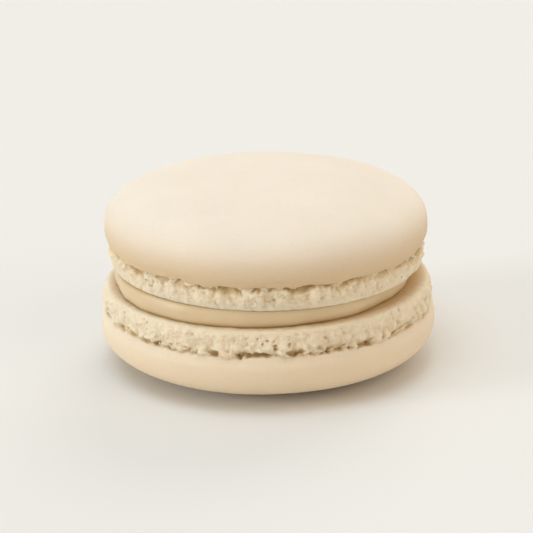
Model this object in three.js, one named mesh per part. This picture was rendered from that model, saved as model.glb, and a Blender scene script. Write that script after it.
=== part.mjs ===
// A French macaron, in millimetres with +Z up.
// Two domed almond shells face each other across a layer of filling. Each shell has a smooth cap over a
// ruffled foot, with a torn, pitted crease where the two meet. The origin is the middle of the small
// flat spot that the lower cap rests on, and the front is towards -Y.

import * as THREE from "three";
import { ImprovedNoise } from "three/addons/math/ImprovedNoise.js";

// Driving dimensions
const LOWER = { radius: 23.0, cap: 8.2, foot: 3.5, taper: 0.8, seed: 11.3 };
const UPPER = { radius: 22.2, cap: 8.2, foot: 3.3, taper: 0.9, seed: 47.7 };
const FILLING_HEIGHT = 2.4; // between the two flat faces, at the middle
const FILLING_RADIUS = 20.1;
const FILLING_SHIFT = { x: -0.8, y: -0.7 }; // the filling sits a little to the front left
const FILLING_FLARE = 0.3; // its edge is wider at the top than at the bottom by this much
const FILLING_BULGE = 0.4;
const FILLING_SEED = 5.1;
const LEAN = THREE.MathUtils.degToRad(0.7); // the upper shell dips towards +X
const GAP = 0.3; // left between the filling and each shell

// Form of a shell, measured in from its radius or up from its flat face. Its taper, above, is how much
// the foot narrows down to the flat face.
const FACE_EDGE = 0.5; // rounding between the flat face and the side of the foot
const RIM_INSET = 0.35; // the foot's fullest part and the cap's lower edge lie in by this much
const CREASE_DEPTH = 0.5; // the crease between foot and cap, before its pits
const CREASE_WIDTH = 0.5;
const RIM_HEIGHT = 1.7; // from the crease up to the widest part of the cap
const DOME_POWER = 2.9; // 2 would be an ellipse, more is flatter on top
const FLAT_SPOT = 0.15; // how much of the lower crest is pressed flat

// Relief, as the size of a bump along the surface and its height
const ROUNDNESS = { size: 30, height: 0.35 };
const DOME_SWELL = { size: 16, height: 0.12 };
const FOLDS = { size: 2.4, height: 0.55, upright: 0.35 }; // stretched up and down the foot
const CRUMBS = { size: 1.3, height: 0.4 };
const PITS = { size: 2.2, height: 2.2 };
const RIM_WAVE = { size: 5, height: 0.42 };
const FILLING_WAVE = { size: 9, height: 0.55 };

// Points round a ring, halved towards the middle of each face
const FINE = 176;
const HALF = FINE / 2;
const QUARTER = FINE / 4;
const COARSE = FINE / 8;

// Rings on the face, as their share of its radius, then steps up the foot and rings on the dome
const FACE_RINGS = [
  { share: 0.25, count: COARSE },
  { share: 0.5, count: QUARTER },
  { share: 0.8, count: HALF },
];
const FOOT_STEPS = 5;
const DOME_RINGS = [HALF, HALF, HALF, HALF, HALF, HALF, HALF, QUARTER, QUARTER, COARSE];

const perlin = new ImprovedNoise();

// Smooth noise in space with bumps of the given size and height.
function bumps(point, relief, seed) {
  const at = point.clone().divideScalar(relief.size).addScalar(seed);
  return relief.height * perlin.noise(at.x, at.y, at.z);
}

// A point on a circle about the Z axis.
function onCircle(radius, angle, height) {
  return new THREE.Vector3(radius * Math.cos(angle), radius * Math.sin(angle), height);
}

// One ring of points, where place(angle) gives each point.
function ring(count, place) {
  return Array.from({ length: count }, (_, i) => place((2 * Math.PI * i) / count));
}

// Triangles between two rings, the second further along the surface. They have equal counts, or one has
// twice as many points as the other.
function stitch(first, second) {
  const a = (i) => first.start + (i % first.count);
  const b = (i) => second.start + (i % second.count);
  const triangles = [];
  for (let i = 0; i < Math.min(first.count, second.count); i++) {
    const j = 2 * i;
    if (first.count === second.count) {
      triangles.push([a(i), a(i + 1), b(i + 1)], [a(i), b(i + 1), b(i)]);
    } else if (first.count < second.count) {
      triangles.push([a(i), b(j + 1), b(j)], [a(i), a(i + 1), b(j + 1)], [a(i + 1), b(j + 2), b(j + 1)]);
    } else {
      triangles.push([a(j), a(j + 1), b(i)], [a(j + 1), b(i + 1), b(i)], [a(j + 1), a(j + 2), b(i + 1)]);
    }
  }
  return triangles;
}

// Triangles from a single point to the ring beside it, where the surface starts or ends.
function fan(pole, rim, starts) {
  return Array.from({ length: rim.count }, (_, i) => {
    const here = rim.start + i;
    const next = rim.start + ((i + 1) % rim.count);
    return starts ? [pole.start, next, here] : [pole.start, here, next];
  });
}

// A closed surface through rings of points, from one pole, out to the side and back to the other pole.
function closedSurface(rings) {
  let start = 0;
  const spans = rings.map((points) => {
    const span = { start, count: points.length };
    start += points.length;
    return span;
  });
  const last = spans.length - 1;
  const triangles = fan(spans[0], spans[1], true);
  for (let i = 1; i < last - 1; i++) {
    triangles.push(...stitch(spans[i], spans[i + 1]));
  }
  triangles.push(...fan(spans[last], spans[last - 1], false));
  const geometry = new THREE.BufferGeometry().setFromPoints(rings.flat());
  geometry.setIndex(triangles.flat());
  geometry.computeVertexNormals();
  return geometry;
}

// The next functions give the stations of a shell's outline from its flat face to its crest, in the
// shell's own frame: the face is at height 0 and the cap points up. Each station has a radius, a height
// and a point count, and says how much it takes of the foot's ruffles, the crease's pits, the rim's
// waves and the dome's swell.

function faceStations(face) {
  const rings = FACE_RINGS.map(({ share, count }) => ({ radius: share * face, height: 0, count }));
  return [...rings, { radius: face - FACE_EDGE, height: 0, count: FINE, ruffle: 0.3 }];
}

// The side of the foot, steeper towards the crease.
function footStations(face, rim, foot) {
  const top = foot - CREASE_WIDTH / 2;
  return Array.from({ length: FOOT_STEPS + 1 }, (_, i) => {
    const share = i / FOOT_STEPS;
    return {
      radius: face + (rim - face) * Math.sin(0.5 * Math.PI * share),
      height: THREE.MathUtils.lerp(FACE_EDGE, top, share),
      count: FINE,
      ruffle: 0.55 + 0.45 * share,
      pit: 0.35 * share ** 3,
      wave: share,
    };
  });
}

// The crease, the cap's lower edge and its widest part.
function rimStations(radius, rim, foot) {
  const midway = radius - RIM_INSET / 4;
  return [
    { radius: rim - CREASE_DEPTH, height: foot, count: FINE, ruffle: 0.5, pit: 1, wave: 1 },
    { radius: rim, height: foot + CREASE_WIDTH / 2, count: FINE, ruffle: 0.12, pit: 0.25, wave: 1 },
    { radius: midway, height: foot + RIM_HEIGHT / 2, count: FINE, wave: 0.4 },
    { radius, height: foot + RIM_HEIGHT, count: FINE },
  ];
}

function domeStations(radius, base, rise) {
  return DOME_RINGS.map((count, i) => {
    const turn = (0.5 * Math.PI * (i + 1)) / (DOME_RINGS.length + 1);
    return {
      radius: radius * Math.cos(turn) ** (2 / DOME_POWER),
      height: base + rise * Math.sin(turn) ** (2 / DOME_POWER),
      count,
      swell: i > 0 ? 1 : 0.4,
    };
  });
}

function shellStations({ radius, cap, foot, taper }) {
  const face = radius - taper;
  const rim = radius - RIM_INSET;
  return [
    ...faceStations(face),
    ...footStations(face, rim, foot),
    ...rimStations(radius, rim, foot),
    ...domeStations(radius, foot + RIM_HEIGHT, cap - RIM_HEIGHT),
  ];
}

// Where a shell's surface runs at a station and an angle, with its relief.
function shellPoint(station, angle, { radius, seed }) {
  const { ruffle = 0, pit = 0, wave = 0, swell = 0 } = station;
  const plain = onCircle(station.radius, angle, station.height);
  const upright = plain.clone().setZ(FOLDS.upright * plain.z);
  const edge = onCircle(radius, angle, 0);
  const uneven = (bumps(edge, ROUNDNESS, seed) * station.radius) / radius;
  const folds = ruffle * (bumps(upright, FOLDS, seed + 1) + bumps(plain, CRUMBS, seed + 2));
  const torn = pit * Math.max(0, bumps(edge, PITS, seed + 3));
  const lift = wave * bumps(edge, RIM_WAVE, seed + 4) + swell * bumps(plain, DOME_SWELL, seed + 5);
  return onCircle(station.radius + uneven + folds - torn, angle, station.height + lift);
}

// A shell as a closed surface, with its crest pressed flat by the given amount.
function shellGeometry(shell, pressed) {
  const crest = shell.foot + shell.cap - pressed;
  const rings = shellStations(shell).map((station) =>
    ring(station.count, (angle) => {
      const point = shellPoint(station, angle, shell);
      return point.setZ(Math.min(point.z, crest));
    }),
  );
  return closedSurface([[new THREE.Vector3(0, 0, 0)], ...rings, [new THREE.Vector3(0, 0, crest)]]);
}

// The filling: a disc with a soft, bulging edge, thinner where the upper shell dips. Its faces keep clear
// of both shells.
function fillingGeometry() {
  const ceiling = (x) => FILLING_HEIGHT - GAP - (x + FILLING_SHIFT.x) * Math.tan(LEAN);
  const level = (count, share, rise) =>
    ring(count, (angle) => {
      const profile = FILLING_FLARE * (rise - 0.5) + FILLING_BULGE * Math.sin(Math.PI * rise);
      const edge = onCircle(FILLING_RADIUS, angle, FILLING_HEIGHT * rise);
      const radius = FILLING_RADIUS + profile + bumps(edge, FILLING_WAVE, FILLING_SEED);
      const point = onCircle(share * radius, angle, 0);
      return point.setZ(THREE.MathUtils.lerp(GAP, ceiling(point.x), rise));
    });
  return closedSurface([
    [new THREE.Vector3(0, 0, GAP)],
    level(COARSE, 0.35, 0),
    level(QUARTER, 0.7, 0),
    ...[0, 0.15, 0.35, 0.65, 0.85, 1].map((rise) => level(HALF, 1, rise)),
    level(QUARTER, 0.7, 1),
    level(COARSE, 0.35, 1),
    [new THREE.Vector3(0, 0, ceiling(0))],
  ]);
}

// A piece with its own material.
function piece(name, geometry, color, roughness) {
  const material = new THREE.MeshStandardMaterial({ color, roughness, metalness: 0 });
  const mesh = new THREE.Mesh(geometry, material);
  mesh.name = name;
  return mesh;
}

const lowerFace = LOWER.cap + LOWER.foot - FLAT_SPOT;

const lowerShell = piece("lower_shell", shellGeometry(LOWER, FLAT_SPOT), 0xf0dfc4, 0.62);
lowerShell.rotation.x = Math.PI;
lowerShell.position.z = lowerFace;

const filling = piece("filling", fillingGeometry(), 0xe9d2a6, 0.5);
filling.position.set(FILLING_SHIFT.x, FILLING_SHIFT.y, lowerFace);

const upperShell = piece("upper_shell", shellGeometry(UPPER, 0), 0xf0dfc4, 0.62);
upperShell.rotation.y = LEAN;
upperShell.position.z = lowerFace + FILLING_HEIGHT;

const macaron = new THREE.Group();
macaron.add(lowerShell, filling, upperShell);
export default macaron;
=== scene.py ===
# The looks of a French macaron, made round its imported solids: two baked shells, each with a smooth cap and
# a crumbly foot, and a soft cream filling between them. Sizes are in millimetres until a mesh is made.

import itertools
import math

import bpy
import numpy as np
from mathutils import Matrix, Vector


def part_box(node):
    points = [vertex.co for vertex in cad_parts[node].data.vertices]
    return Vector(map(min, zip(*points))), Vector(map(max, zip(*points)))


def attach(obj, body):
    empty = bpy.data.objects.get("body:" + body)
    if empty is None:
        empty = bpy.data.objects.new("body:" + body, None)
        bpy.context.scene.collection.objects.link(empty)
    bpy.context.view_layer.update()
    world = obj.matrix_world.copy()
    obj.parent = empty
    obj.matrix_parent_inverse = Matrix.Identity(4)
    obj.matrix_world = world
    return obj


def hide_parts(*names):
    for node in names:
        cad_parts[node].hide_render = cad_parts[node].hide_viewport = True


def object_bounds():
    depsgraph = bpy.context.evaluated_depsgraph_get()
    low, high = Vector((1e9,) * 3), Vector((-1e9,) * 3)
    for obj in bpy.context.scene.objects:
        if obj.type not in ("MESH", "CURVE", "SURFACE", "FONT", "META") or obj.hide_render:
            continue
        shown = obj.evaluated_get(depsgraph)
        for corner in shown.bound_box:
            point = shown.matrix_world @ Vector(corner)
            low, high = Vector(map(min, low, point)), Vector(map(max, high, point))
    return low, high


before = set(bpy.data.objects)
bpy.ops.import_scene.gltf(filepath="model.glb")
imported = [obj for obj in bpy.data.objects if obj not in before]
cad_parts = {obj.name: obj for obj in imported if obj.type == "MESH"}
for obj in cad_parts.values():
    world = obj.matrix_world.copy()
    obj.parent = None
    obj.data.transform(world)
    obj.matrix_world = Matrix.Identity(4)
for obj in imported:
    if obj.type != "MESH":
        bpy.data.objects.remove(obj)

cad_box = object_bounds()
MM = 0.001

# Form of the shells, close to that of their solids, with the depth of the pores and the torn pits in their
# feet, and the seed of their noise
LOWER = {"foot": 3.5, "taper": 0.8, "pores": 0.32, "pits": 0.95, "seed": 200}
UPPER = {"foot": 3.3, "taper": 0.9, "pores": 0.18, "pits": 0.9, "seed": 300}
LEAN = math.radians(0.7)  # the upper shell dips towards +X
FACE_EDGE = 0.55  # rounding between the flat face and the side of the foot
RIM_INSET = 0.35  # the cap tucks in by this much at its lower edge
RIM_HEIGHT = 1.7  # from the crease up to the widest part of the cap
DOME_POWER = 2.9  # 2 would be an ellipse, more is flatter on top
FLAT_SPOT = 0.15  # how much of the lower crest is pressed flat
CREASE_BAND = 0.5  # half the height of the zone with the finest rows

# The tint of each shell's cap, which grows from the first to the second of these heights above the crease:
# painted warm shade on the lower cap, browning and painted shade on the upper
LOWER_TINT = {"tint": "underside_shade", "tinted": (-9.0, 8.5)}
UPPER_TINT = {"tint": "browning_and_shade", "tinted": (6.5, 0.3)}

# The filling
FILLING_HEIGHT = 2.4  # between the two flat faces, at the middle
FILLING_FLARE = 0.3  # its edge is wider at the top than at the bottom by this much
FILLING_BULGE = 0.42
FILLING_WAVES = ((9.0, 0.45, 0.4), (3.0, 0.12, 1), (5.0, 0.05, 5))  # size, height, squash upright
FILLING_REACH = 0.45  # its bulge and waves reach this far past its plain edge
FILLING_DIP = 0.04  # it sinks this far into both shells
FILLING_ROWS = 25

# Loose crumbs
LOWER_CRUMBS = 150
UPPER_CRUMBS = 110
CRUMB_SIZES = (0.07, 0.2)

# Rows of the shells' meshes, and points round a row. The inner rows of a flat face have a share of its
# radius and a count.
ROUND = 1440
INNER_FACE = ((0.1, 90), (0.35, 180), (0.6, 360), (0.76, 720))
OUTER_FACE = 0.84  # the share of the radius from which a flat face has fine rows
FACE_ROWS = 16
FOOT_ROWS = 24
CREASE_ROWS = 13
DOME_COUNTS = [720] * 4 + [360] * 9 + [180] * 6 + [90] * 4

# Relief of the foot, the crease and the cap
ROUNDNESS = {"size": 30.0, "height": 0.3}
RUFFLE = {"size": 4.5, "height": 0.28, "upright": 0.45}
FOLDS = {"size": 1.9, "height": 0.42}
CRAGS = {"size": 1.5, "height": 0.80, "upright": 0.6}
PRESSED = {"from": 0.1, "keeps": 0.45}  # bumps higher than the first keep this share of the rest
LUMPS = {"size": 0.85, "height": 0.37}
GRAINS = {"size": 0.48, "height": 0.20}
PORE_SIZE = 0.6
TORN_EDGE = {"size": 1.1, "height": 0.24, "band": 0.45}
CRINKLE = {"size": 1.3, "height": 0.07}
RIM_WAVE = {"size": 5.0, "height": 0.40}
GROOVE = {"depth": 0.24, "width": 0.3}
PIT = {"size": 2.0, "stretch": 1.5, "drop": 0.34, "band": 0.56, "ragged": 0.28, "fray": 0.6, "patch": 7.0}
PIT_LIFT = 0.25  # the floor of a pit lies towards the cap by this share of its depth
HOLLOW_DEPTH = 0.8  # where a hollow is this deep it has the full painted shade of the pits
FACE_RELIEF = 0.45  # the share of the foot's relief on its flat face
FACE_BARE = (0.76, 0.86)  # the flat face's relief starts between these shares of the radius
FACE_SHADE = (0.95, 0.87)  # and its painted shade between these, from the outside in
DOME_SWELL = {"size": 16.0, "height": 0.12}
DOME_DIMPLES = {"size": 3.2, "height": 0.025}

# Colours, linear, under neutral light
CAP_COLOUR = (0.835, 0.755, 0.66, 1)
# browning and painted warm shade towards the upper cap's lower edge
BROWNING_AND_SHADE_COLOUR = (0.66, 0.50, 0.32, 1)
# painted warm shade over the lower cap, deepest at its bottom
UNDERSIDE_SHADE_COLOUR = (0.785, 0.62, 0.42, 1)
FOOT_COLOUR = (0.785, 0.67, 0.51, 1)
# painted shade in the torn pits, the crease's groove and the hollows of the relief
PIT_SHADE_COLOUR = (0.60, 0.45, 0.25, 1)
# painted shade on the flat faces round the filling, between the shells
FACE_SHADE_COLOUR = (0.62, 0.43, 0.22, 1)
FILLING_COLOUR = (0.68, 0.525, 0.335, 1)
# painted shade where the filling meets the shells
CONTACT_SHADE_COLOUR = (0.50, 0.34, 0.14, 1)
FLOOR_COLOUR = (0.80, 0.80, 0.80, 1)
FLOOR_HALF = 3.0  # half the floor's width, in metres

# The sky's colour near the horizon and overhead, and the soft lights: the way to each one from the
# macaron, its width in degrees, its strength and its colour
SKY_LOW = (0.80, 0.74, 0.65, 1)
SKY_HIGH = (0.57, 0.53, 0.47, 1)
LIGHTS = {
    "key": ((-0.18, -0.12, 0.97), 42, 0.87, (0.74, 0.90, 1.0)),
    "window": ((-0.94, -0.26, 0.24), 20, 1.14, (0.96, 1.0, 1.0)),
    "fill": ((0.68, -0.45, 0.58), 44, 0.46, (1.0, 0.78, 0.50)),
    "back": ((0.31, 0.78, 0.56), 40, 0.75, (1.0, 0.92, 0.82)),
}

# The photograph's viewpoint, with a longer lens so that the macaron fills the frame
CAMERA_ELEVATION = math.radians(19.5)
CAMERA_ROLL = math.radians(1.3)  # the photo shows the macaron's right side higher by about this much
CAMERA_DISTANCE = 0.3375  # in metres
CAMERA_LENS = 165


# Noise in space


def scatter(lattice, seed):
    """Three random numbers from 0 to 1 for each whole-number point of a lattice."""
    x, y, z = (lattice[..., i].astype(np.int64).astype(np.uint32) for i in range(3))
    mixed = x * np.uint32(73856093) ^ y * np.uint32(19349663) ^ z * np.uint32(83492791)
    mixed = mixed ^ np.uint32(seed * 9781 + 77)
    numbers = []
    for _ in range(3):
        mixed = (mixed ^ (mixed >> np.uint32(15))) * np.uint32(0x2C1B3C6D)
        mixed = (mixed ^ (mixed >> np.uint32(12))) * np.uint32(0x297A2D39)
        mixed = mixed ^ (mixed >> np.uint32(15))
        numbers.append(mixed / 2.0**32)
    return np.stack(numbers, axis=-1)


def noise(points, size, seed):
    """Smooth noise from about -1 to 1, with bumps of the given size."""
    at = points / size
    base = np.floor(at)
    part = at - base
    fade = part**3 * (part * (part * 6 - 15) + 10)
    total = np.zeros(len(points))
    for corner in itertools.product((0, 1), repeat=3):
        slope = scatter(base + corner, seed) * 2 - 1
        weight = np.prod(np.where(corner, fade, 1 - fade), axis=-1)
        total += weight * np.sum(slope * (part - corner), axis=-1)
    return 1.5 * total


def cells(points, size, seed):
    """Distance to the nearest of some scattered points, in sizes, and that point's random number."""
    at = points / size
    base = np.floor(at)
    nearest = np.full(len(points), np.inf)
    tag = np.zeros(len(points))
    for step in itertools.product((-1, 0, 1), repeat=3):
        random = scatter(base + step, seed)
        distance = np.linalg.norm(base + step + random - at, axis=-1)
        closer = distance < nearest
        nearest[closer] = distance[closer]
        tag[closer] = random[closer, 0] * 0.5 + random[closer, 1] * 0.5
    return nearest, tag


def blobs(points, size, seed):
    """Soft round bumps of uneven height round scattered points, mostly from 0 to 1."""
    at = points / size
    base = np.floor(at)
    total = np.zeros(len(points))
    for step in itertools.product((-1, 0, 1), repeat=3):
        random = scatter(base + step, seed)
        distance = np.sum((base + step + random - at) ** 2, axis=-1)
        height = scatter(base + step, seed + 50)[..., 0] ** 2
        total += height * np.maximum(1 - distance / 0.55, 0) ** 2
    return total


def smooth(low, high, values):
    """0 below low, 1 above high and a soft step between, also where high is below low."""
    share = np.clip((values - low) / (high - low), 0, 1)
    return share * share * (3 - 2 * share)


# Meshes made of rings


def band(first, second):
    """Faces between two rings of (start, count), which are equal or one twice the other."""
    (a, m), (b, n) = first, second
    faces = []
    for i in range(min(m, n)):
        j = 2 * i
        if m == n:
            faces.append((a + i, a + (i + 1) % m, b + (i + 1) % n, b + i))
        elif m < n:
            faces.append((a + i, b + j + 1, b + j))
            faces.append((a + i, a + (i + 1) % m, b + j + 1))
            faces.append((a + (i + 1) % m, b + (j + 2) % n, b + j + 1))
        else:
            faces.append((a + j, a + j + 1, b + i))
            faces.append((a + j + 1, b + (i + 1) % n, b + i))
            faces.append((a + j + 1, a + (j + 2) % m, b + (i + 1) % n))
    return faces


def ring_faces(counts):
    """Faces of a closed surface of rings, with a pole before the first ring and one after the last."""
    starts = [1 + sum(counts[:i]) for i in range(len(counts))]
    spans = list(zip(starts, counts))
    (first, m), (last, n) = spans[0], spans[-1]
    faces = [(0, first + (i + 1) % m, first + i) for i in range(m)]
    for i in range(len(spans) - 1):
        faces += band(spans[i], spans[i + 1])
    pole = last + n
    return faces + [(pole, last + i, last + (i + 1) % n) for i in range(n)]


def on_rings(values, counts):
    """One value a ring, spread over its points, with the first and last value at the poles."""
    return np.concatenate([[values[0]], np.repeat(values, counts), [values[-1]]])


def ring_spokes(counts):
    """The way outwards from the axis at each point of the rings and the poles."""
    turns = [np.arange(count) * (2 * math.pi / count) for count in counts]
    angle = np.concatenate([[0.0], *turns, [0.0]])
    return np.column_stack([np.cos(angle), np.sin(angle), np.zeros(len(angle))])


def make_piece(name, points, faces, attributes, material, nodes=()):
    """A smooth mesh object in metres, riding on the macaron's body."""
    mesh = bpy.data.meshes.new(name)
    mesh.from_pydata((points * MM).tolist(), [], faces)
    mesh.shade_smooth()
    for key, values in attributes.items():
        mesh.attributes.new(key, "FLOAT", "POINT").data.foreach_set("value", values.astype(np.float32))
    mesh.materials.append(material)
    piece = bpy.data.objects.new(name, mesh)
    bpy.context.scene.collection.objects.link(piece)
    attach(piece, "root")
    if nodes:
        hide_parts(*nodes)
    return piece


# The shells


def shell_rings(radius, crest, foot, taper):
    """Radius, height and count of each ring of an undisturbed shell, from its flat face to its crest."""
    face = radius - taper
    rim = radius - RIM_INSET
    rings = [(share * face, 0, count) for share, count in INNER_FACE]
    for i, share in enumerate(np.linspace(OUTER_FACE, 1, FACE_ROWS, endpoint=False)):
        rings.append((share * (face - FACE_EDGE), 0, ROUND if i > FACE_ROWS / 3 else ROUND // 2))
    for turn in np.linspace(0, math.pi / 2, 5)[:-1]:
        rings.append((face - FACE_EDGE * (1 - math.sin(turn)), FACE_EDGE * (1 - math.cos(turn)), ROUND))
    for share in np.linspace(0, 1, FOOT_ROWS, endpoint=False):
        height = FACE_EDGE + (foot - CREASE_BAND - FACE_EDGE) * share
        rings.append((face + (rim - face) * math.sin(math.pi / 2 * share), height, ROUND))
    for share in np.linspace(-1, 1, CREASE_ROWS):
        rings.append((rim, foot + CREASE_BAND * share, ROUND))
    for share in (0.25, 0.5, 0.75, 1.0):
        tuck = RIM_INSET * (1 - share) ** 2
        height = CREASE_BAND + (RIM_HEIGHT - CREASE_BAND) * share
        rings.append((radius - tuck, foot + height, ROUND if share < 0.5 else ROUND // 2))
    base = foot + RIM_HEIGHT
    for i, count in enumerate(DOME_COUNTS):
        turn = math.pi / 2 * (i + 1) / (len(DOME_COUNTS) + 1)
        across = math.cos(turn) ** (2 / DOME_POWER)
        rings.append((radius * across, base + (crest - base) * math.sin(turn) ** (2 / DOME_POWER), count))
    return rings


def foot_relief(points, above, sideways, foot, pore_depth, seed):
    """How far the foot's surface stands out, by its distance above the crease (negative on the foot)."""
    upright = points * (1, 1, RUFFLE["upright"])
    near_crease = smooth(-0.9 * foot, -0.4 * foot, above)
    ruffle = RUFFLE["height"] * noise(upright, RUFFLE["size"], seed + 1)
    folds = FOLDS["height"] * (np.abs(noise(upright, FOLDS["size"], seed + 2)) - 0.3)
    crags = CRAGS["height"] * (blobs(points * (1, 1, CRAGS["upright"]), CRAGS["size"], seed + 14) - 0.2)
    crags *= smooth(-0.9 * foot, -0.3 * foot, above)
    lumps = LUMPS["height"] * (blobs(points, LUMPS["size"], seed + 3) - 0.2)
    distance, tag = cells(points, GRAINS["size"], seed + 4)
    grains = sideways * GRAINS["height"] * (0.45 - distance**2) * (0.3 + 1.4 * tag)
    pores = pore_depth * smooth(0.32, 0.75, noise(points, PORE_SIZE, seed + 5))
    pores *= 0.5 + smooth(-0.3, 0.4, noise(points, 4 * PORE_SIZE, seed + 15))
    fine = (0.5 + 0.5 * near_crease) * (folds + lumps - pores) + crags
    fine -= (1 - PRESSED["keeps"]) * np.maximum(fine - PRESSED["from"], 0)
    return ruffle, fine + grains


def crease_pits(edge, above, depth, seed):
    """Depth of the torn pits along the crease, from the circle below and the distance above the crease."""
    across = np.column_stack([edge[:, 0], edge[:, 1], PIT["stretch"] * above])
    strength = smooth(-0.6, 0.3, noise(edge, PIT["patch"], seed + 6))
    ragged = PIT["ragged"] * noise(across, PIT["fray"], seed + 8)
    torn = smooth(-0.06, 0.32, noise(across, PIT["size"], seed + 7) + ragged)
    inside = np.exp(-(((above + PIT["drop"]) / PIT["band"]) ** 2)) * smooth(0.18, 0.02, above)
    return depth * (0.3 + 0.7 * strength) * torn * inside


def crease_wander(edge, above, up, foot, seed):
    """How far the crease and what lies beside it run up and down."""
    near_line = np.where(above < 0, up / foot, np.clip(1 - above / RIM_HEIGHT, 0, 1) ** 2)
    lift = near_line * RIM_WAVE["height"] * noise(edge, RIM_WAVE["size"], seed + 9)
    ragged = TORN_EDGE["height"] * noise(edge, TORN_EDGE["size"], seed + 10)
    return lift + np.exp(-((above / TORN_EDGE["band"]) ** 2)) * ragged


def rim_crinkle(edge, above, seed):
    """How far the cap's lower edge stands in and out."""
    crinkle = CRINKLE["height"] * smooth(0.0, 0.1, above) * smooth(1.2, 0.1, above)
    return crinkle * noise(edge, CRINKLE["size"], seed + 11)


def dome_swell(points, above, seed):
    """How far the dome stands up or in, in wide swells and shallow dimples."""
    swell = DOME_SWELL["height"] * noise(points, DOME_SWELL["size"], seed + 12)
    swell += DOME_DIMPLES["height"] * noise(points, DOME_DIMPLES["size"], seed + 13)
    return smooth(RIM_HEIGHT, RIM_HEIGHT + 2, above) * swell


def shell_surface(radius, crest, foot, taper, pores, pits, seed, tint, tinted):
    """Points, ring counts and attributes of a shell in its own frame, with its face at height 0."""
    rings = shell_rings(radius, crest, foot, taper)
    counts = [count for _, _, count in rings]
    out = on_rings([r for r, _, _ in rings], counts)
    up = on_rings([h for _, h, _ in rings], counts)
    out[[0, -1]] = 0
    up[-1] = crest
    spoke = ring_spokes(counts)
    points = out[:, None] * spoke + up[:, None] * np.array([0, 0, 1])
    edge = radius * spoke

    above = up - foot
    on_foot = smooth(0.1, -0.12, above) * smooth(*FACE_BARE, out / radius)
    sideways = smooth(0, FACE_EDGE, up)
    uneven = ROUNDNESS["height"] * noise(edge, ROUNDNESS["size"], seed) * out / radius
    ruffle, fine = (on_foot * part for part in foot_relief(points, above, sideways, foot, pores, seed))
    groove = GROOVE["depth"] * np.exp(-(((above + 0.05) / GROOVE["width"]) ** 2))
    torn = crease_pits(edge, above, pits, seed)
    outward = uneven + sideways * (ruffle + fine) - groove - torn + rim_crinkle(edge, above, seed)
    upward = crease_wander(edge, above, up, foot, seed) + PIT_LIFT * torn + dome_swell(points, above, seed)
    points += outward[:, None] * spoke
    points[:, 2] += upward - FACE_RELIEF * (1 - sideways) * fine
    attributes = {
        "foot": on_foot,
        # painted shade in the pits, the groove and the hollows of the fine relief
        "hollow_shade": np.clip((1.3 * torn + groove - np.minimum(fine, 0)) / HOLLOW_DEPTH, 0, 1),
        "browning_and_shade": np.zeros(len(points)),
        "underside_shade": np.zeros(len(points)),
        # painted shade on the flat face round the filling
        "face": smooth(*FACE_SHADE, out / radius) * (up < FACE_EDGE),
    }
    # the cap's tint: browning and painted shade on the upper shell, painted warm shade on the lower one
    attributes[tint] = smooth(*tinted, above) * (1 - on_foot)
    return points, counts, attributes


def lean(points, height):
    """Points of the upper shell's own frame, tilted and lifted to their place."""
    x = points[:, 0] * math.cos(LEAN) + points[:, 2] * math.sin(LEAN)
    z = points[:, 2] * math.cos(LEAN) - points[:, 0] * math.sin(LEAN)
    return np.column_stack([x, points[:, 1], z + height])


# The filling


def filling_surface(radius, centre, floor, ceiling_at):
    """A soft band of cream that bulges a little and meets both shells, with ceiling_at(x) over it.

    Its attribute of painted contact shade is 1 where it meets the lower shell, and about a third of that at
    the upper one.
    """
    rises = [0.0] * 3 + list(np.linspace(0, 1, FILLING_ROWS)) + [1.0] * 3
    shares = [0.2, 0.5, 0.85] + [1.0] * FILLING_ROWS + [0.85, 0.5, 0.2]
    counts = [180, 360, 720] + [720] * FILLING_ROWS + [720, 360, 180]
    rise = on_rings(rises, counts)
    share = on_rings(shares, counts)
    share[[0, -1]] = 0
    spoke = ring_spokes(counts)
    side = radius * spoke + (FILLING_HEIGHT * rise)[:, None] * np.array([0, 0, 1])
    out = radius + FILLING_FLARE * (rise - 0.5) + FILLING_BULGE * np.sin(math.pi * rise) ** 0.8
    for i, (size, height, squash) in enumerate(FILLING_WAVES):
        out += height * noise(side * (1, 1, squash), size, 61 + i)
    points = (share * out)[:, None] * spoke
    points[:, :2] += centre
    points[:, 2] = floor + rise * (ceiling_at(points[:, 0]) - floor)
    # painted shade along the filling's bottom and, weaker, along its top
    contact_shade = smooth(0.25, 0.02, rise) + 0.35 * smooth(0.85, 1, rise)
    return points, counts, {"contact_shade": contact_shade}


# Crumbs


def crumb_shape():
    """Points and faces of a small rounded lump."""
    golden_ratio = (1 + 5**0.5) / 2
    corners = []
    for a, b in itertools.product((-1, 1), (-golden_ratio, golden_ratio)):
        corners += [(a, b, 0), (0, a, b), (b, 0, a)]
    corners = np.array(corners) / np.linalg.norm(corners[0])
    gap = np.linalg.norm(corners[:, None] - corners[None], axis=-1)
    near = (gap > 0.1) & (gap < 1.1)
    faces = []
    for i, j, k in itertools.combinations(range(12), 3):
        if near[i, j] and near[j, k] and near[i, k]:
            flat = np.cross(corners[j] - corners[i], corners[k] - corners[i])
            faces.append((i, j, k) if flat @ corners[i] > 0 else (i, k, j))
    return corners, faces


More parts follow.
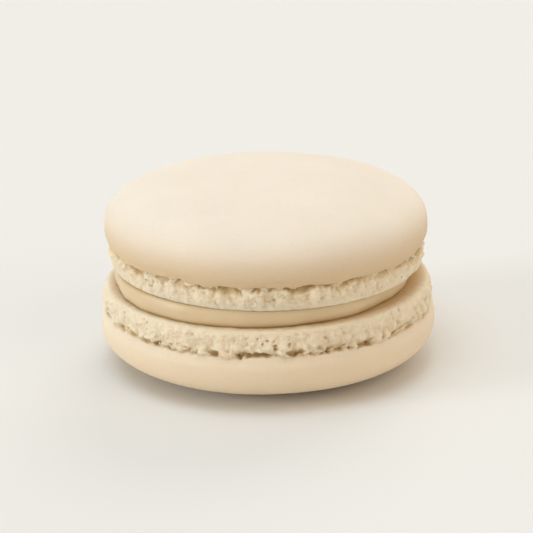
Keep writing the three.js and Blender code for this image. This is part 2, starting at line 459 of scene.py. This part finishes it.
def crumbs_on(points, attributes, count, rng):
    """Loose crumbs that cling to a shell's foot, most of them near its crease."""
    shape, shape_faces = crumb_shape()
    chance = attributes["foot"] * (0.3 + np.abs(points[:, 2]))
    places = rng.choice(len(points), count, replace=False, p=chance / chance.sum())
    middle = points.mean(axis=0) * (1, 1, 0)
    every_point, every_face = [], []
    for place in places:
        size = rng.uniform(*CRUMB_SIZES) * rng.uniform(0.6, 1.3, 3)
        rough = shape * (1 + rng.uniform(-0.25, 0.25, (12, 1))) * size
        outward = (points[place] - middle) * (1, 1, 0)
        outward /= np.linalg.norm(outward)
        start = 12 * len(every_point)
        every_point.append(rough + points[place] + 0.05 * outward)
        every_face += [tuple(start + i for i in face) for face in shape_faces]
    return np.concatenate(every_point), every_face


# Materials


def new_material(name):
    material = bpy.data.materials.new(name)
    material.use_nodes = True
    nodes = material.node_tree.nodes
    return material, nodes, material.node_tree.links, nodes["Principled BSDF"]


def node(nodes, kind, inputs=None, **settings):
    """A shader node with its settings and its sockets' values."""
    made = nodes.new(kind)
    for key, value in settings.items():
        setattr(made, key, value)
    for key, value in (inputs or {}).items():
        made.inputs[key].default_value = value
    return made


def mix(nodes, links, amount, first, second, blend="MIX"):
    """A colour mix. Each of amount, first and second is a value or an output socket."""
    made = node(nodes, "ShaderNodeMix", data_type="RGBA", blend_type=blend)
    for socket, value in zip((made.inputs[0], made.inputs[6], made.inputs[7]), (amount, first, second)):
        if isinstance(value, bpy.types.NodeSocket):
            links.new(value, socket)
        else:
            socket.default_value = value
    return made.outputs[2]


def object_noise(nodes, links, scale, detail=2.0, roughness=0.5):
    """Noise fixed to the macaron, with its scale in bumps to the metre."""
    place = node(nodes, "ShaderNodeTexCoord")
    made = node(nodes, "ShaderNodeTexNoise", {"Scale": scale, "Detail": detail, "Roughness": roughness})
    links.new(place.outputs["Object"], made.inputs["Vector"])
    return made.outputs[0]


def ramp(nodes, links, factor, low, high, from_value, to_value):
    """A value that goes from one number to another as factor goes from low to high."""
    made = node(nodes, "ShaderNodeMapRange", {1: low, 2: high, 3: from_value, 4: to_value})
    links.new(factor, made.inputs[0])
    return made.outputs[0]


def bump(nodes, links, height, distance, strength, under=None):
    made = node(nodes, "ShaderNodeBump", {"Strength": strength, "Distance": distance})
    links.new(height, made.inputs["Height"])
    if under is not None:
        links.new(under, made.inputs["Normal"])
    return made.outputs[0]


def shell_material():
    """Baked almond meringue: an eggshell-smooth cap and a crumbly foot, with browning and painted shade
    towards the upper cap's edge, painted shade over the lower cap, in the hollows and on the flat face.
    """
    material, nodes, links, surface = new_material("almond_shell")
    foot, hollow_shade, browning_and_shade, underside_shade, face = (
        node(nodes, "ShaderNodeAttribute", attribute_name=key).outputs["Fac"]
        for key in ("foot", "hollow_shade", "browning_and_shade", "underside_shade", "face"))
    # browning and painted warm shade towards the upper cap's crease
    cap = mix(nodes, links, browning_and_shade, CAP_COLOUR, BROWNING_AND_SHADE_COLOUR)
    # painted warm shade over the lower cap, deepest at its bottom
    cap = mix(nodes, links, underside_shade, cap, UNDERSIDE_SHADE_COLOUR)
    base = mix(nodes, links, foot, cap, FOOT_COLOUR)
    # painted shade on the flat face round the filling
    base = mix(nodes, links, face, base, FACE_SHADE_COLOUR)
    clouds = ramp(nodes, links, object_noise(nodes, links, 130, 3), 0.3, 0.7, 0.965, 1.0)
    specks = ramp(nodes, links, object_noise(nodes, links, 2600, 1), 0.62, 0.75, 1.0, 0.955)
    shade = node(nodes, "ShaderNodeMath", operation="MULTIPLY")
    links.new(clouds, shade.inputs[0])
    links.new(specks, shade.inputs[1])
    base = mix(nodes, links, 1.0, base, shade.outputs[0], "MULTIPLY")
    # painted shade in the pits and hollows
    base = mix(nodes, links, hollow_shade, base, PIT_SHADE_COLOUR)
    links.new(base, surface.inputs["Base Color"])

    rough = node(nodes, "ShaderNodeMapRange", {1: 0.0, 2: 1.0, 3: 0.68, 4: 0.85})
    links.new(foot, rough.inputs[0])
    links.new(rough.outputs[0], surface.inputs["Roughness"])
    pores = bump(nodes, links, object_noise(nodes, links, 1500, 2), 0.00006, 0.35)
    sponge = bump(nodes, links, object_noise(nodes, links, 5200, 3, 0.65), 0.00009, 0.5, pores)
    links.new(sponge, surface.inputs["Normal"])
    surface.inputs["Specular IOR Level"].default_value = 0.28
    surface.inputs["Subsurface Weight"].default_value = 0.5
    surface.inputs["Subsurface Radius"].default_value = (1.0, 0.75, 0.5)
    surface.inputs["Subsurface Scale"].default_value = 0.0022
    return material


def filling_material():
    """Soft vanilla cream with a satin skin."""
    material, nodes, links, surface = new_material("cream_filling")
    clouds = ramp(nodes, links, object_noise(nodes, links, 220, 3), 0.3, 0.7, 0.94, 1.0)
    base = mix(nodes, links, 1.0, FILLING_COLOUR, clouds, "MULTIPLY")
    contact_shade = node(nodes, "ShaderNodeAttribute", attribute_name="contact_shade").outputs["Fac"]
    # painted shade along the filling's edges against the shells
    links.new(mix(nodes, links, contact_shade, base, CONTACT_SHADE_COLOUR), surface.inputs["Base Color"])
    skin = bump(nodes, links, object_noise(nodes, links, 900, 3), 0.0001, 0.4)
    links.new(skin, surface.inputs["Normal"])
    surface.inputs["Roughness"].default_value = 0.42
    surface.inputs["Specular IOR Level"].default_value = 0.4
    surface.inputs["Subsurface Weight"].default_value = 0.35
    surface.inputs["Subsurface Radius"].default_value = (1.0, 0.6, 0.3)
    surface.inputs["Subsurface Scale"].default_value = 0.002
    return material


def floor_material():
    material, _, _, surface = new_material("floor")
    surface.inputs["Base Color"].default_value = FLOOR_COLOUR
    surface.inputs["Roughness"].default_value = 0.8
    surface.inputs["Specular IOR Level"].default_value = 0.05
    return material


# Putting it together


def add_lower_shell(material, rng):
    """The lower shell, upside down, with its crumbs. It gives the height of its flat face."""
    low, high = (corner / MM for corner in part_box("lower_shell"))
    face = high.z
    points, counts, attributes = shell_surface(
        radius=(high.x - low.x) / 2, crest=face + FLAT_SPOT, **LOWER, **LOWER_TINT)
    points[:, 2] = np.minimum(points[:, 2], face)
    lower = points * (1, -1, -1) + (0, 0, face)
    make_piece("lower_shell_baked", lower, ring_faces(counts), attributes, material,
               ["lower_shell"])
    add_crumbs("lower_crumbs", lower, attributes, face, LOWER_CRUMBS, rng, material)
    return face


def add_upper_shell(material, face, rng):
    """The upper shell with its crumbs, its flat face at the given height in the middle."""
    low, high = (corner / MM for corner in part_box("upper_shell"))
    points, counts, attributes = shell_surface(
        radius=(high.x - low.x) / 2, crest=high.z - face, **UPPER, **UPPER_TINT)
    upper = lean(points, face)
    make_piece("upper_shell_baked", upper, ring_faces(counts), attributes, material,
               ["upper_shell"])
    add_crumbs("upper_crumbs", upper, attributes, face, UPPER_CRUMBS, rng, material)


def add_crumbs(name, points, attributes, face, count, rng, material):
    """Crumbs on the foot of a shell with its flat face at the given height."""
    lift = (0, 0, face)
    grains, faces = crumbs_on(points - lift, attributes, count, rng)
    tints = {key: np.zeros(len(grains)) for key in ("hollow_shade", "browning_and_shade", "underside_shade", "face")}
    tints["foot"] = np.ones(len(grains))
    make_piece(name, grains + lift, faces, tints, material)


def add_filling(face, upper_face):
    """The filling, between the flat faces of the two shells."""
    low, high = (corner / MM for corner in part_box("filling"))
    centre = ((low.x + high.x) / 2, (low.y + high.y) / 2)
    points, counts, attributes = filling_surface(
        (high.x - low.x) / 2 - FILLING_REACH, centre, face - FILLING_DIP,
        lambda x: upper_face - x * math.tan(LEAN) + FILLING_DIP)
    make_piece("filling_cream", points, ring_faces(counts), attributes, filling_material(),
               ["filling"])


def build_macaron():
    baked = shell_material()
    rng = np.random.default_rng(12)
    face = add_lower_shell(baked, rng)
    upper_face = face + FILLING_HEIGHT
    add_upper_shell(baked, upper_face, rng)
    add_filling(face, upper_face)


def add_floor():
    mesh = bpy.data.meshes.new("floor")
    corners = [(x * FLOOR_HALF, y * FLOOR_HALF, 0) for x, y in ((-1, -1), (1, -1), (1, 1), (-1, 1))]
    mesh.from_pydata(corners, [], [(0, 1, 2, 3)])
    mesh.materials.append(floor_material())
    floor = bpy.data.objects.new("floor", mesh)
    bpy.context.scene.collection.objects.link(floor)


def look_at(thing, target):
    thing.rotation_euler = (Vector(target) - thing.location).to_track_quat("-Z", "Y").to_euler()


def add_light(name, towards, width, strength, colour):
    """A soft light, so far off that the whole floor gets as much of it."""
    light = bpy.data.lights.new(name, "SUN")
    light.angle = math.radians(width)
    light.energy = strength
    light.color = colour
    lamp = bpy.data.objects.new(name, light)
    lamp.location = towards
    look_at(lamp, (0, 0, 0))
    bpy.context.scene.collection.objects.link(lamp)


def add_sky():
    world = bpy.data.worlds.new("studio")
    world.use_nodes = True
    nodes, links = world.node_tree.nodes, world.node_tree.links
    direction = node(nodes, "ShaderNodeTexCoord")
    parts = node(nodes, "ShaderNodeSeparateXYZ")
    links.new(direction.outputs["Generated"], parts.inputs[0])
    height = ramp(nodes, links, parts.outputs["Z"], 0.1, 0.5, 0.0, 1.0)
    links.new(mix(nodes, links, height, SKY_LOW, SKY_HIGH), nodes["Background"].inputs["Color"])
    bpy.context.scene.world = world


def add_camera(centre):
    data = bpy.data.cameras.new("camera")
    data.lens = CAMERA_LENS
    data.sensor_width = 36
    data.clip_start = 0.01
    camera = bpy.data.objects.new("camera", data)
    back = Vector((0, -math.cos(CAMERA_ELEVATION), math.sin(CAMERA_ELEVATION)))
    camera.location = centre + CAMERA_DISTANCE * back
    look_at(camera, centre)
    camera.rotation_euler.rotate_axis("Z", -CAMERA_ROLL)
    bpy.context.scene.collection.objects.link(camera)
    bpy.context.scene.camera = camera


build_macaron()
add_floor()
middle = Vector((0, 0, (cad_box[0].z + cad_box[1].z) / 2))
add_sky()
for light_name, settings in LIGHTS.items():
    add_light(light_name, *settings)
add_camera(middle)
bpy.context.scene.view_settings.view_transform = "Standard"
